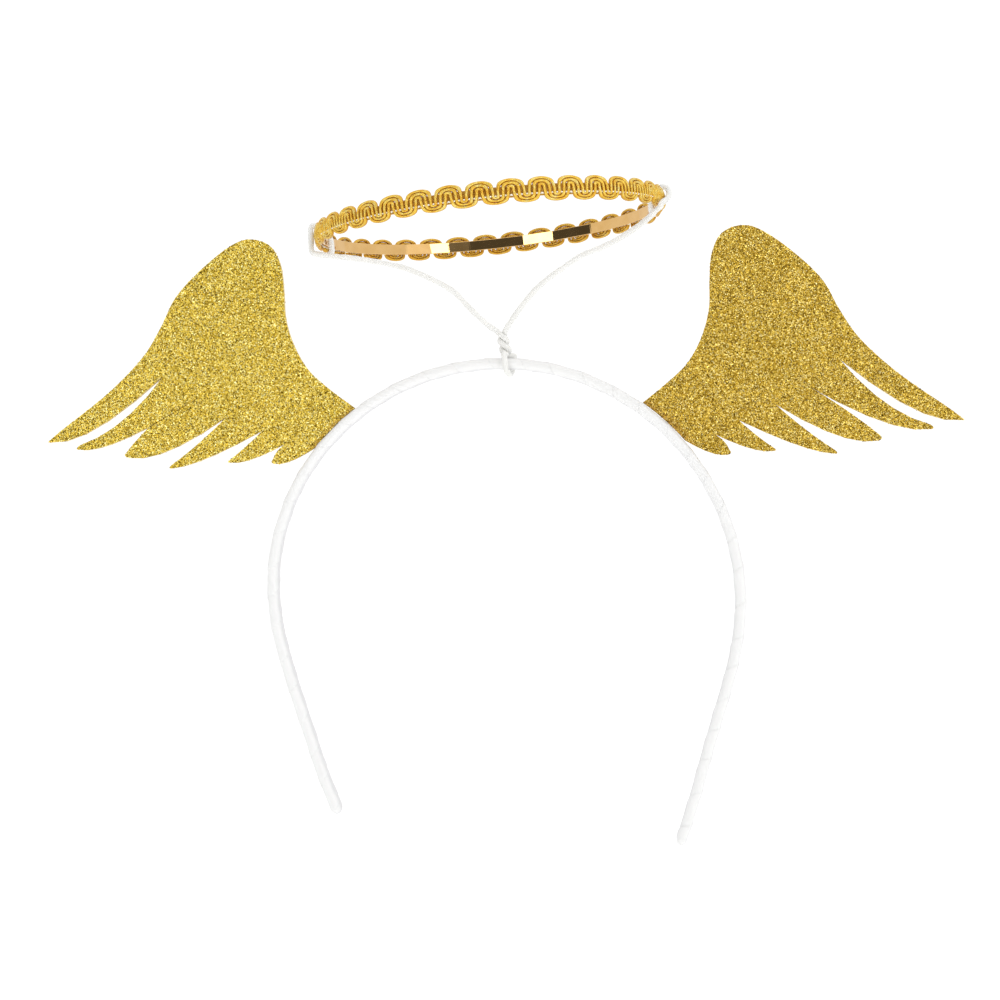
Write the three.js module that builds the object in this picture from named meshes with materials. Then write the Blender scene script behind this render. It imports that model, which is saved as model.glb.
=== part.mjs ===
// Costume headband with a gold halo on a twisted wire and a pair of glitter wings.
// Millimetres. +X to the wearer's left as seen from the front, +Y to the back, +Z up.
// The origin is the inner face of the band at its crown, where the band sits on the head.
import * as THREE from 'three';
import { mergeVertices } from 'three/addons/utils/BufferGeometryUtils.js';

// Head and band
const HEAD_RADIUS = 64.2;
const BAND_THICKNESS = 2.9;
const BAND_DEPTH = 6.4;
const TIP_ROUNDING = 2.4;
const LEFT_TIP_TURN = -142.8;
const RIGHT_TIP_TURN = 144.3;

// Ring of the halo
const HALO_RADIUS = 49.4;
const HALO_HEIGHT = 41.4;
const HALO_SHIFT = -3.6;
const HALO_ROLL = 6;
const BRAID_THICKNESS = 1.9;
const BRAID_HEIGHT = 6.6;
const BRAID_TURN = 3.5;
const BRAID_EASE = 1.3;
const SCALLOP_RISE = 1.2;
const SCALLOP_WIDTH = 8.4;
const HOOP_THICKNESS = 0.6;
const HOOP_HEIGHT = 3;

// Wire
const WIRE_DIAMETER = 1.6;
const STEM_HEIGHT = 6.4;
const STEM_LEAN = -1.4;
const STEM_FOOT = 1;
const STEM_TURNS = 1.25;
const LOOP_FRONT = -0.5;
const LOOP_BACK = 2;
const LOOP_SLACK = 0.2;
const LEFT_PINCH = 0.5;
const RIGHT_PINCH = 1.7;
const PINCH_WIDTH = 13;

// Wings
const WING_SPAN = 88;
const WING_HEIGHT = 64.6;
const WING_THICKNESS = 1.6;
const WING_BASE = 15.8;
const LEFT_WING_TURN = -38;
const RIGHT_WING_TURN = 35.6;
const LEFT_WING_TILT = -0.6;
const RIGHT_WING_TILT = 2.3;

// Gap that lies between two pieces that touch
const GAP = 0.3;

const BAND_RADIUS = HEAD_RADIUS + BAND_THICKNESS;
const HOOP_RADIUS = HALO_RADIUS - BRAID_THICKNESS - GAP;
const WIRE_RADIUS = WIRE_DIAMETER / 2;

// How finely the curves are drawn
const COURSE_STEPS = 32;
const BAND_STEPS = 70;
const EDGE_STEPS = 4;
const TIP_SHARES = [0.04, 0.2, 0.45, 0.75];
const HOOP_SIDES = 96;
const SCALLOP_STEPS = 8;
const WIRE_SIDES = 7;
const WIRE_STEPS = 270;
const TWIST_STEPS = 8;
const CORNER_TURNS = [0, 45, 90];
const RUN_SHARES = [0.3, 0.7];
const RIM_STEPS = 5;
const BASE_STEPS = 6;

// The band past its round crown: the turn from the crown in degrees, and how far out its
// outer face lies there on each arm, as a share of the crown's outer radius.
const BAND_ARMS = [
  { turn: 0, left: 1, right: 1 },
  { turn: 30, left: 1.004, right: 0.996 },
  { turn: 60, left: 1.006, right: 0.999 },
  { turn: 80, left: 0.996, right: 1.005 },
  { turn: 95, left: 0.981, right: 1.009 },
  { turn: 105, left: 0.971, right: 1.011 },
  { turn: 115, left: 0.98, right: 1.024 },
  { turn: 125, left: 1.015, right: 1.067 },
  { turn: 135, left: 1.083, right: 1.157 },
  { turn: 145, left: 1.181, right: 1.29 },
];

// Where each tie of the wire bends round the corners of the ring's section, in degrees round
// the ring: below the outside, above it, above the inside, below it.
const LEFT_TIE = [185, 181, 179, 178];
const RIGHT_TIE = [-20, 3, 6, 6];

// Each arm of the wire between the top of the stem and its tie on the ring:
// shares of the way out and of the way up.
const LEFT_ARM = [
  { out: 0.05, up: 0.076 },
  { out: 0.149, up: 0.289 },
  { out: 0.248, up: 0.523 },
  { out: 0.374, up: 0.685 },
  { out: 0.5, up: 0.808 },
  { out: 0.616, up: 0.873 },
  { out: 0.78, up: 0.938 },
  { out: 0.913, up: 0.97 },
];
const RIGHT_ARM = [
  { out: 0.123, up: 0.235 },
  { out: 0.24, up: 0.4 },
  { out: 0.37, up: 0.522 },
  { out: 0.514, up: 0.638 },
  { out: 0.654, up: 0.705 },
  { out: 0.793, up: 0.794 },
  { out: 0.927, up: 0.911 },
];

// The wing's rim from its glued corner over the round top to the first feather's tip:
// out as a share of the span, up as a share of the height.
const WING_RIM = [
  { out: 0, up: 0 },
  { out: 0.08, up: 0.082 },
  { out: 0.148, up: 0.167 },
  { out: 0.195, up: 0.279 },
  { out: 0.22, up: 0.395 },
  { out: 0.225, up: 0.511 },
  { out: 0.235, up: 0.627 },
  { out: 0.268, up: 0.712 },
  { out: 0.33, up: 0.743 },
  { out: 0.395, up: 0.717 },
  { out: 0.492, up: 0.616 },
  { out: 0.577, up: 0.494 },
  { out: 0.626, up: 0.365 },
  { out: 0.688, up: 0.232 },
  { out: 0.803, up: 0.077 },
  { out: 0.951, up: -0.077 },
  { out: 1, up: -0.132 },
];

// The feathers from the long outer one to the short one beside the band. The tip and the end
// of the slit after it are shares of the span and the height. The bows are how far the upper
// and lower edges bulge down, as shares of their lengths, and blunt is how much of them the
// round tip takes. A shut slit ends sooner on the left wing.
const FEATHERS = [
  { tipOut: 1, tipUp: -0.132, upper: 0, lower: 0.09, blunt: 0.02, slitOut: 0.618, slitUp: 0.154 },
  { tipOut: 0.91, tipUp: -0.163, upper: 0.077, lower: 0.079, blunt: 0.05, slitOut: 0.507, slitUp: 0.053,
    shutOut: 0.667, shutUp: -0.07 },
  { tipOut: 0.753, tipUp: -0.198, upper: -0.018, lower: 0.1, blunt: 0.09, slitOut: 0.412, slitUp: -0.028 },
  { tipOut: 0.609, tipUp: -0.254, upper: 0.02, lower: 0.05, blunt: 0.07, slitOut: 0.298, slitUp: -0.092 },
  { tipOut: 0.415, tipUp: -0.229, upper: 0.02, lower: 0.078, blunt: 0.06, slitOut: 0.208, slitUp: -0.138 },
  { tipOut: 0.276, tipUp: -0.233, upper: -0.1, lower: 0.11, blunt: 0.14 },
];

// Where along a feather's upper and lower edge its bulge lies
const UPPER_BULGE = 0.6;
const LOWER_BULGE = 0.22;

function finish(name, geometry, color, roughness, metalness) {
  const mesh = new THREE.Mesh(geometry, new THREE.MeshStandardMaterial({ color, roughness, metalness }));
  mesh.name = name;
  return mesh;
}

function closed(geometry) {
  geometry.deleteAttribute('normal');
  geometry.deleteAttribute('uv');
  const merged = mergeVertices(geometry, 1e-4);
  merged.computeVertexNormals();
  return merged;
}

// A point in the band's own plane, at a turn from the crown about the centre of the head
function aroundHead(turn, radius) {
  const angle = THREE.MathUtils.degToRad(turn);
  return new THREE.Vector3(radius * Math.sin(angle), 0, radius * Math.cos(angle) - HEAD_RADIUS);
}

// A point at a height over the band's outer face, at a turn from the crown (left turns are
// negative)
function overBand(turn, height) {
  const arm = turn < 0 ? 'left' : 'right';
  const size = Math.abs(turn);
  const next = Math.max(1, BAND_ARMS.findIndex((row) => row.turn >= size));
  const low = BAND_ARMS[next - 1];
  const high = BAND_ARMS[next];
  const share = THREE.MathUtils.mapLinear(size, low.turn, high.turn, low[arm], high[arm]);
  return aroundHead(turn, share * BAND_RADIUS + height);
}

// The band's centre line from the left tip over the crown to the right tip
function bandCourse() {
  const points = [];
  for (let step = 0; step <= COURSE_STEPS; step += 1) {
    const turn = THREE.MathUtils.lerp(LEFT_TIP_TURN, RIGHT_TIP_TURN, step / COURSE_STEPS);
    points.push(overBand(turn, -BAND_THICKNESS / 2));
  }
  return new THREE.CatmullRomCurve3(points, false, 'centripetal');
}

// The outline of the band's section: flat faces and half-round edges
function bandSection() {
  const radius = BAND_THICKNESS / 2;
  const straight = BAND_DEPTH / 2 - radius;
  const points = [];
  for (let step = 0; step <= EDGE_STEPS; step += 1) {
    const angle = (Math.PI * step) / EDGE_STEPS;
    points.push(new THREE.Vector2(radius * Math.cos(angle), straight + radius * Math.sin(angle)));
  }
  const back = points.map((point) => new THREE.Vector2(-point.x, -point.y));
  return [...points, ...back];
}

// Stations along the band, with the share of its size that the round tips leave there
function bandStations(length) {
  const tip = TIP_SHARES.map((share) => ({
    distance: share * TIP_ROUNDING,
    size: Math.sqrt(1 - (1 - share) ** 2),
  }));
  const body = [];
  for (let step = 0; step <= BAND_STEPS; step += 1) {
    const distance = THREE.MathUtils.lerp(TIP_ROUNDING, length - TIP_ROUNDING, step / BAND_STEPS);
    body.push({ distance, size: 1 });
  }
  const end = tip.map((row) => ({ distance: length - row.distance, size: row.size })).reverse();
  return [...tip, ...body, ...end];
}

function bandGeometry() {
  const course = bandCourse();
  const length = course.getLength();
  const section = bandSection();
  const depthwise = new THREE.Vector3(0, 1, 0);
  const rings = bandStations(length).map(({ distance, size }) => {
    const centre = course.getPointAt(distance / length);
    const outward = new THREE.Vector3().crossVectors(course.getTangentAt(distance / length), depthwise);
    return section.map(({ x, y }) => centre.clone()
      .addScaledVector(outward, -x * size)
      .addScaledVector(depthwise, y * size));
  });
  return loft(rings);
}

// A closed body through rings of points, with flat ends
function loft(rings) {
  const positions = rings.flat().flatMap((point) => point.toArray());
  const count = rings[0].length;
  const index = [];
  for (let ring = 0; ring < rings.length - 1; ring += 1) {
    for (let side = 0; side < count; side += 1) {
      const a = ring * count + side;
      const b = ring * count + ((side + 1) % count);
      index.push(a, b, b + count, a, b + count, a + count);
    }
  }
  const last = (rings.length - 1) * count;
  for (let side = 1; side < count - 1; side += 1) {
    index.push(0, side + 1, side);
    index.push(last, last + side, last + side + 1);
  }
  const geometry = new THREE.BufferGeometry();
  geometry.setAttribute('position', new THREE.Float32BufferAttribute(positions, 3));
  geometry.setIndex(index);
  return geometry;
}

// A point by the ring: azimuth from +X towards the back, distance from its axis, and height
// above its middle
function byRing(azimuth, radius, height) {
  const angle = THREE.MathUtils.degToRad(azimuth);
  return new THREE.Vector3(radius * Math.cos(angle), radius * Math.sin(angle), height)
    .applyAxisAngle(new THREE.Vector3(0, 1, 0), -THREE.MathUtils.degToRad(HALO_ROLL))
    .add(new THREE.Vector3(HALO_SHIFT, 0, HALO_HEIGHT));
}

function placeRing(geometry) {
  geometry.rotateY(-THREE.MathUtils.degToRad(HALO_ROLL));
  geometry.translate(HALO_SHIFT, 0, HALO_HEIGHT);
  return geometry;
}

// A closed band of rectangular section round the Z axis
function ringGeometry(innerRadius, outerRadius, height, segments) {
  const half = height / 2;
  const profile = [
    new THREE.Vector2(innerRadius, half),
    new THREE.Vector2(innerRadius, -half),
    new THREE.Vector2(outerRadius, -half),
    new THREE.Vector2(outerRadius, half),
    new THREE.Vector2(innerRadius, half),
  ];
  const geometry = new THREE.LatheGeometry(profile, segments);
  geometry.rotateX(Math.PI / 2);
  return closed(geometry);
}

// How much lower than its crest a scalloped edge lies, for a place in scallops along it
function scallopDip(place) {
  const across = (place - Math.floor(place)) * 2 - 1;
  return SCALLOP_RISE * (1 - Math.sqrt(Math.max(0, 1 - across * across)));
}

// Where a place on the braid comes to lie round the ring, in radians. The braid is drawn a
// little tighter along the front than along the back.
function braidAzimuth(turn) {
  const angle = 2 * Math.PI * turn;
  return angle + THREE.MathUtils.degToRad(BRAID_TURN - BRAID_EASE * Math.cos(angle));
}

// How far a tie of wire draws the braid's lower edge up, for a place round the ring in degrees
function pinch(azimuth) {
  return LEFT_PINCH * nearness(azimuth, LEFT_TIE) + RIGHT_PINCH * nearness(azimuth, RIGHT_TIE);
}

// From 1 where the last bend of a tie is down to 0 a pinch's width away from it
function nearness(azimuth, tie) {
  const turn = THREE.MathUtils.euclideanModulo(azimuth - tie[tie.length - 1] + 180, 360) - 180;
  const distance = HALO_RADIUS * THREE.MathUtils.degToRad(Math.abs(turn));
  return Math.cos((Math.PI / 2) * Math.min(1, distance / PINCH_WIDTH)) ** 2;
}

function braidGeometry() {
  const scallops = Math.round((2 * Math.PI * HALO_RADIUS) / SCALLOP_WIDTH);
  const inner = HALO_RADIUS - BRAID_THICKNESS;
  const geometry = ringGeometry(inner, HALO_RADIUS, BRAID_HEIGHT, scallops * SCALLOP_STEPS);
  const position = geometry.attributes.position;
  for (let item = 0; item < position.count; item += 1) {
    const turn = Math.atan2(position.getY(item), position.getX(item)) / (2 * Math.PI);
    const radius = Math.hypot(position.getX(item), position.getY(item));
    const place = Math.round(turn * scallops * SCALLOP_STEPS) / SCALLOP_STEPS;
    const azimuth = braidAzimuth(place / scallops);
    const drawn = pinch(THREE.MathUtils.radToDeg(azimuth));
    const z = position.getZ(item);
    const dip = z > 0 ? -scallopDip(place) : Math.max(scallopDip(place + 0.5), drawn);
    position.setXYZ(item, radius * Math.cos(azimuth), radius * Math.sin(azimuth), z + dip);
  }
  return placeRing(geometry);
}

function hoopGeometry() {
  return placeRing(ringGeometry(HOOP_RADIUS - HOOP_THICKNESS, HOOP_RADIUS, HOOP_HEIGHT, HOOP_SIDES));
}

// The corners of a bar's section in turn, from below the outside
const CORNERS = [
  { across: 1, up: -1, from: -90 },
  { across: 1, up: 1, from: 0 },
  { across: -1, up: 1, from: 90 },
  { across: -1, up: -1, from: 180 },
];

// The wire's way round one corner of a bar's section: across and up from the bar's middle
function roundCorner({ across, up, from }, halfWidth, halfHeight, reach) {
  return CORNER_TURNS.map((turn) => {
    const angle = THREE.MathUtils.degToRad(from + turn);
    return {
      across: across * halfWidth + reach * Math.cos(angle),
      up: up * halfHeight + reach * Math.sin(angle),
    };
  });
}

// The tie of wire round the ring, from underneath, up the outside, over the top and down the
// inside, with places between the corners where it follows the ring's curve
function tieTurns(tie) {
  const inner = HOOP_RADIUS - HOOP_THICKNESS;
  const middle = (HALO_RADIUS + inner) / 2;
  const bends = tie.map((azimuth, item) => {
    const corner = CORNERS[item % CORNERS.length];
    const halfHeight = BRAID_HEIGHT / 2 - (corner.up < 0 ? pinch(azimuth) : 0);
    return roundCorner(corner, (HALO_RADIUS - inner) / 2, halfHeight, WIRE_RADIUS + GAP)
      .map(({ across, up }) => new THREE.Vector3(azimuth, middle + across, up));
  });
  const runs = bends.slice(1).map((bend, item) => {
    const last = bends[item][CORNER_TURNS.length - 1];
    return RUN_SHARES.map((share) => last.clone().lerp(bend[0], share));
  });
  return bends.flatMap((bend, item) => [...bend, ...(runs[item] ?? [])])
    .map(({ x, y, z }) => byRing(x, y, z));
}

// The top of the stem, and its foot where the strands part round the band
function stemEnds() {
  const foot = new THREE.Vector3(STEM_FOOT, 0, BAND_THICKNESS + WIRE_RADIUS + GAP);
  return { foot, top: foot.clone().add(new THREE.Vector3(STEM_LEAN, 0, STEM_HEIGHT)) };
}

// One strand of the twist, from the top down. The start is the strand's angle at the top.
function strand(start) {
  const { foot, top } = stemEnds();
  const reach = WIRE_RADIUS + GAP / 2;
  const steps = Math.ceil(STEM_TURNS * TWIST_STEPS);
  const points = [];
  for (let step = 0; step <= steps; step += 1) {
    const share = step / steps;
    const angle = THREE.MathUtils.degToRad(start + 360 * STEM_TURNS * share);
    const point = top.clone().lerp(foot, share);
    points.push(point.add(new THREE.Vector3(reach * Math.cos(angle), reach * Math.sin(angle), 0)));
  }
  return points;
}

// The loop round the crown of the band, from the edge over the front, down, underneath and
// up the back to the edge over it
function crownLoop() {
  const reach = WIRE_RADIUS + GAP + LOOP_SLACK;
  const [underBack, overBack, overFront, underFront] = CORNERS.map(
    (corner) => roundCorner(corner, BAND_DEPTH / 2, BAND_THICKNESS / 2, reach),
  );
  const round = [...overFront.slice(1), ...underFront, ...underBack, ...overBack.slice(0, -1)];
  return round.map(({ across, up }, item) => {
    const shift = THREE.MathUtils.lerp(LOOP_FRONT, LOOP_BACK, item / (round.length - 1));
    return new THREE.Vector3(STEM_FOOT + shift, across, BAND_THICKNESS / 2 + up);
  });
}

function armPoints(rows, from, to) {
  return rows.map(({ out, up }) => new THREE.Vector3(
    THREE.MathUtils.lerp(from.x, to.x, out),
    THREE.MathUtils.lerp(from.y, to.y, out),
    THREE.MathUtils.lerp(from.z, to.z, up),
  ));
}

// The wire's whole way: left tie, left arm, down one strand, round the band, up the other
// strand, right arm and right tie
function wireCourse() {
  const leftStrand = strand(180);
  const rightStrand = strand(0).reverse();
  const leftTie = tieTurns(LEFT_TIE);
  const rightTie = tieTurns(RIGHT_TIE);
  const leftArm = armPoints(LEFT_ARM, leftStrand[0], leftTie[0]);
  const rightArm = armPoints(RIGHT_ARM, rightStrand[rightStrand.length - 1], rightTie[0]);
  return new THREE.CatmullRomCurve3([
    ...leftTie.reverse(), ...leftArm.reverse(), ...leftStrand, ...crownLoop(),
    ...rightStrand, ...rightArm, ...rightTie,
  ], false, 'centripetal');
}

function wireGeometry() {
  const corners = [];
  for (let side = 0; side < WIRE_SIDES; side += 1) {
    const angle = (2 * Math.PI * side) / WIRE_SIDES;
    corners.push(new THREE.Vector2(WIRE_RADIUS * Math.cos(angle), WIRE_RADIUS * Math.sin(angle)));
  }
  return closed(new THREE.ExtrudeGeometry(new THREE.Shape(corners), {
    steps: WIRE_STEPS,
    extrudePath: wireCourse(),
  }));
}

// Where an edge of a feather is drawn to on its way, so that it bulges to the right of that way
function bulgeOf(start, end, bow, share) {
  const way = end.clone().sub(start);
  const aside = new THREE.Vector2(way.y, -way.x).multiplyScalar(2 * bow);
  return start.clone().lerp(end, share).add(aside);
}

// The feathers' edges, tips and slits, from the first tip to the foot beside the band
function drawFeathers(shape, foot, slitShut) {
  const at = (out, up) => new THREE.Vector2(out * WING_SPAN, up * WING_HEIGHT);
  FEATHERS.forEach((feather, item) => {
    const tip = at(feather.tipOut, feather.tipUp);
    let slit = foot;
    if (slitShut && feather.shutOut !== undefined) {
      slit = at(feather.shutOut, feather.shutUp);
    } else if (feather.slitOut !== undefined) {
      slit = at(feather.slitOut, feather.slitUp);
    }
    if (item > 0) {
      const root = shape.currentPoint.clone();
      const end = tip.clone().lerp(root, feather.blunt);
      const bulge = bulgeOf(root, end, feather.upper, UPPER_BULGE);
      shape.quadraticCurveTo(bulge.x, bulge.y, end.x, end.y);
    }
    const bulge = bulgeOf(tip, slit, -feather.lower, LOWER_BULGE);
    const turned = new THREE.QuadraticBezierCurve(tip, bulge, slit).getPoint(feather.blunt);
    shape.quadraticCurveTo(tip.x, tip.y, turned.x, turned.y);
    bulge.lerp(slit, feather.blunt);
    shape.quadraticCurveTo(bulge.x, bulge.y, slit.x, slit.y);
  });
}

// The edge that is glued along the band's outer face, in the wing's own plane, from the
// corner nearest the crown to the foot
function wingBase(turn, tilt) {
  const side = Math.sign(turn);
  const corner = overBand(turn, GAP);
  const length = THREE.MathUtils.radToDeg(WING_BASE / BAND_RADIUS);
  const points = [];
  for (let step = 0; step <= BASE_STEPS; step += 1) {
    const point = overBand(turn + (side * length * step) / BASE_STEPS, GAP).sub(corner);
    points.push(new THREE.Vector2(side * point.x, point.z)
      .rotateAround(new THREE.Vector2(), -THREE.MathUtils.degToRad(tilt)));
  }
  return points;
}

// The wing's outline with its glued corner at the origin, spreading to the wing's own side
function wingShape(base, side, slitShut) {
  const shape = new THREE.Shape();
  const rim = WING_RIM.map(({ out, up }) => new THREE.Vector2(out * WING_SPAN, up * WING_HEIGHT));
  shape.moveTo(rim[0].x, rim[0].y);
  shape.splineThru(rim.slice(1));
  drawFeathers(shape, base[base.length - 1], slitShut);
  base.slice(1, -1).reverse().forEach((point) => shape.lineTo(point.x, point.y));
  return new THREE.Shape(shape.getPoints(RIM_STEPS).map(({ x, y }) => new THREE.Vector2(side * x, y)));
}

function wingMesh(name, turn, tilt, slitShut) {
  const side = Math.sign(turn);
  const geometry = new THREE.ExtrudeGeometry(wingShape(wingBase(turn, tilt), side, slitShut), {
    depth: WING_THICKNESS,
    bevelEnabled: false,
  });
  geometry.translate(0, 0, -WING_THICKNESS / 2);
  geometry.rotateX(Math.PI / 2);
  const mesh = finish(name, closed(geometry), 0xc8a532, 0.45, 0.6);
  mesh.position.copy(overBand(turn, GAP));
  mesh.rotation.y = -side * THREE.MathUtils.degToRad(tilt);
  return mesh;
}

const group = new THREE.Group();
group.add(finish('headband', bandGeometry(), 0xf4f3f1, 0.5, 0));
group.add(finish('halo_wire', wireGeometry(), 0xf2f1ec, 0.8, 0));
group.add(finish('halo_hoop', hoopGeometry(), 0xd9b15a, 0.1, 1));
group.add(finish('halo_braid', braidGeometry(), 0xc79a32, 0.45, 0.7));
group.add(wingMesh('wing_left', LEFT_WING_TURN, LEFT_WING_TILT, true));
group.add(wingMesh('wing_right', RIGHT_WING_TURN, RIGHT_WING_TILT, false));
group.updateMatrixWorld(true);

export default group;
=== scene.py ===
# %% [markdown]
# # A halo headband, piece by piece
# This lesson dresses a costume headpiece: an alice band wound in white ribbon, a gold halo of gimp braid
# on a covered wire, and two wings cut from glitter foam.
# The solids of every piece are already there, at their real size, and they stay where they are. Each cell
# adds what the eye sees on top of them: threads, folds, cords and glitter, and the light that shows them.
# Loading the solids first gives one shared frame, in metres, so nothing has to be fitted by eye later.

# %% Load the solids
import math

import bmesh
import bpy
import numpy as np
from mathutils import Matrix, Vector


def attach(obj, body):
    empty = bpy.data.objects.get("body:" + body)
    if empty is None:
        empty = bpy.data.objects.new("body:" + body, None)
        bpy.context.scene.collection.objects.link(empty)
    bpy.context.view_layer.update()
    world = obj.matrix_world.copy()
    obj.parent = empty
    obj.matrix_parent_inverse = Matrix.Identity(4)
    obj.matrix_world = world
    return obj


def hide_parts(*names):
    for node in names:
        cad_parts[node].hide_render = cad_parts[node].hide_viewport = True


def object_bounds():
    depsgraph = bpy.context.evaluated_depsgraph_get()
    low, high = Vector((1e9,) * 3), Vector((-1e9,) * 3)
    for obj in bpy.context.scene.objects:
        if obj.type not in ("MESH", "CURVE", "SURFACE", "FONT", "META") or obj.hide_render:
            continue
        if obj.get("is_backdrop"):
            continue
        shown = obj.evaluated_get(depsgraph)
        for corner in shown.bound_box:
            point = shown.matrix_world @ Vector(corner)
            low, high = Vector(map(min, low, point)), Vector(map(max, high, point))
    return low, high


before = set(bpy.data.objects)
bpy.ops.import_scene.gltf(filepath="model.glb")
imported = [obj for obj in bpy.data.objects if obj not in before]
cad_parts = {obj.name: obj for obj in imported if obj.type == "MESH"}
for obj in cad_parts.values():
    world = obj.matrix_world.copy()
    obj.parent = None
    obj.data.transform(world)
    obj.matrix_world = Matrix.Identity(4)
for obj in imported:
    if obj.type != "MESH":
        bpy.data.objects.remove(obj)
CAD_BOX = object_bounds()
MM = 0.001
print("solids:", ", ".join(sorted(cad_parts)))

# %% [markdown]
# ## The camera
# The reference picture was taken from straight ahead, a touch to the wearer's left, with a lens long
# enough to keep the ring from looking wide open. A camera could be nudged by hand until the picture
# matches, but a distance, a lens and one turn say the same thing and can be checked.
# The camera looks level, so the ring is seen from just below and its far side shows its inner face.

# %% Place the camera
CAMERA_TURN = math.radians(4)
CAMERA_DISTANCE = 0.55
CAMERA_LENS = 70.7
SENSOR = 36
AIM = Vector((-0.0008, 0, -0.0367))

camera = bpy.data.objects.new("camera", bpy.data.cameras.new("camera"))
bpy.context.scene.collection.objects.link(camera)
camera.data.lens = CAMERA_LENS
camera.data.sensor_width = SENSOR
camera.location = AIM + CAMERA_DISTANCE * Vector((math.sin(CAMERA_TURN), -math.cos(CAMERA_TURN), 0))
camera.rotation_euler = (math.pi / 2, 0, CAMERA_TURN)
bpy.context.scene.camera = camera
print("camera at", [round(value, 4) for value in camera.location], "lens", CAMERA_LENS)


# %% [markdown]
# ## Building materials from nodes
# Every finish here is made of shader nodes. They could be laid out by hand in the shader editor, but then
# nobody could read them here. Writing each node with its inputs in one line keeps a material readable: a
# plain value goes into the socket, and another node's output is wired to it.
# The helpers below do only that, so the cells that use them can be read like a recipe.

# %% Helpers for nodes
def add(tree, kind, inputs=None, **settings):
    """Adds a node; inputs holds values or other nodes' outputs, settings the node's own options."""
    step = tree.nodes.new(kind)
    for option, value in settings.items():
        setattr(step, option, value)
    for socket, value in (inputs or {}).items():
        if isinstance(value, bpy.types.NodeSocket):
            tree.links.new(value, step.inputs[socket])
        else:
            step.inputs[socket].default_value = value
    return step


def sums(tree, operation, first, second=0.0, third=0.0, **settings):
    """The result of a Math node."""
    inputs = {0: first, 1: second, 2: third}
    return add(tree, "ShaderNodeMath", inputs, operation=operation, **settings).outputs[0]


def parts_of(tree, vector):
    """The three numbers of a vector, by the names X, Y and Z."""
    return add(tree, "ShaderNodeSeparateXYZ", {"Vector": vector}).outputs


def own_place(tree):
    """Where a point lies on its own piece, in metres."""
    return add(tree, "ShaderNodeTexCoord").outputs["Object"]


def blend(tree, share, first, second):
    """A colour that goes from the first to the second with the share."""
    inputs = {0: share, 6: first, 7: second}
    return add(tree, "ShaderNodeMix", inputs, data_type="RGBA").outputs[2]


def ramp(tree, share, stops, **settings):
    """A colour ramp with a (place, colour) pair for each stop."""
    step = add(tree, "ShaderNodeValToRGB", {"Fac": share})
    marks = step.color_ramp.elements
    while len(marks) < len(stops):
        marks.new(1)
    for mark, (place, colour) in zip(marks, stops):
        mark.position = place
        mark.color = (*colour, 1)
    for option, value in settings.items():
        setattr(step.color_ramp, option, value)
    return step.outputs["Color"]


def spread(tree, value, low, high):
    """A value from 0 to 1, stretched to run from low to high."""
    return add(tree, "ShaderNodeMapRange", {"Value": value, "To Min": low, "To Max": high}).outputs[0]


def noise(tree, place, scale, detail=2.0):
    """Soft random clouds, about as many to a metre as the scale says, as a value from 0 to 1."""
    inputs = {"Vector": place, "Scale": scale, "Detail": detail}
    return add(tree, "ShaderNodeTexNoise", inputs).outputs["Fac"]


def new_finish(name, **sockets):
    """A new material, its node tree and its shader, with the sockets that are the same all over set."""
    finish = bpy.data.materials.new(name)
    finish.use_nodes = True
    shader = finish.node_tree.nodes["Principled BSDF"]
    for socket, value in sockets.items():
        shader.inputs[socket.replace("_", " ")].default_value = value
    return finish, finish.node_tree, shader


def wire_up(tree, shader, colour=None, roughness=None, height=None, relief=0.0, normal=None):
    """Joins what a finish worked out to its shader; relief is how many metres a height of 1 stands up."""
    if colour is not None:
        tree.links.new(colour, shader.inputs["Base Color"])
    if roughness is not None:
        tree.links.new(roughness, shader.inputs["Roughness"])
    if height is not None:
        inputs = {"Height": height, "Distance": relief, "Strength": 1.0}
        if normal is not None:
            inputs["Normal"] = normal
        normal = add(tree, "ShaderNodeBump", inputs).outputs["Normal"]
    if normal is not None:
        tree.links.new(normal, shader.inputs["Normal"])


HELPERS = (add, sums, parts_of, own_place, blend, ramp, spread, noise, new_finish, wire_up)
print("helpers:", ", ".join(helper.__name__ for helper in HELPERS))

# %% [markdown]
# ## The room
# The picture is a plain white product shot. White things on white only read by the soft greys along their
# edges, and gold reads by what it reflects, so the surroundings matter more here than the lamps.
# A photograph of a studio could light the scene, but a short table of directions does it as well and can
# be tuned. Each row starts a part of the room at a turn from the front, in degrees: white walls, a dark
# part where the photographer stands, a dim part beside it, and a wall with a lamp's light on it. Higher
# up, the dark part gives way to a white ceiling.
# The camera itself sees plain white, as the picture's background is.

# %% Surround the piece with white walls and a dark part
WALL = 1.0
DARK = 0.09
DIM = 0.2
LIT_WALL = 1.2
BACKDROP = 1.1
ROOM_PARTS = [(-180, WALL), (-72, DARK), (18, DIM), (48, LIT_WALL), (68, WALL)]
CEILING_START = 0.42
CEILING_FULL = 0.62

scene = bpy.context.scene
scene.view_settings.view_transform = "Standard"
scene.world = bpy.data.worlds.new("studio")
scene.world.use_nodes = True
room = scene.world.node_tree
room.nodes.clear()
direction = parts_of(room, add(room, "ShaderNodeTexCoord").outputs["Generated"])
turn = sums(room, "ARCTAN2", direction["X"], sums(room, "MULTIPLY", direction["Y"], -1.0))
around = sums(room, "MULTIPLY_ADD", turn, 0.5 / math.pi, 0.5)
stops = [(0.5 + start / 360, (level, level, level)) for start, level in ROOM_PARTS]
walls = ramp(room, around, stops, interpolation="CONSTANT")
limits = {"Value": direction["Z"], "From Min": CEILING_START, "From Max": CEILING_FULL}
above = add(room, "ShaderNodeMapRange", limits).outputs[0]
seen = blend(room, above, walls, (WALL, WALL, WALL, 1))
straight = add(room, "ShaderNodeLightPath").outputs["Is Camera Ray"]
shown = blend(room, straight, seen, (BACKDROP, BACKDROP, BACKDROP, 1))
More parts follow.
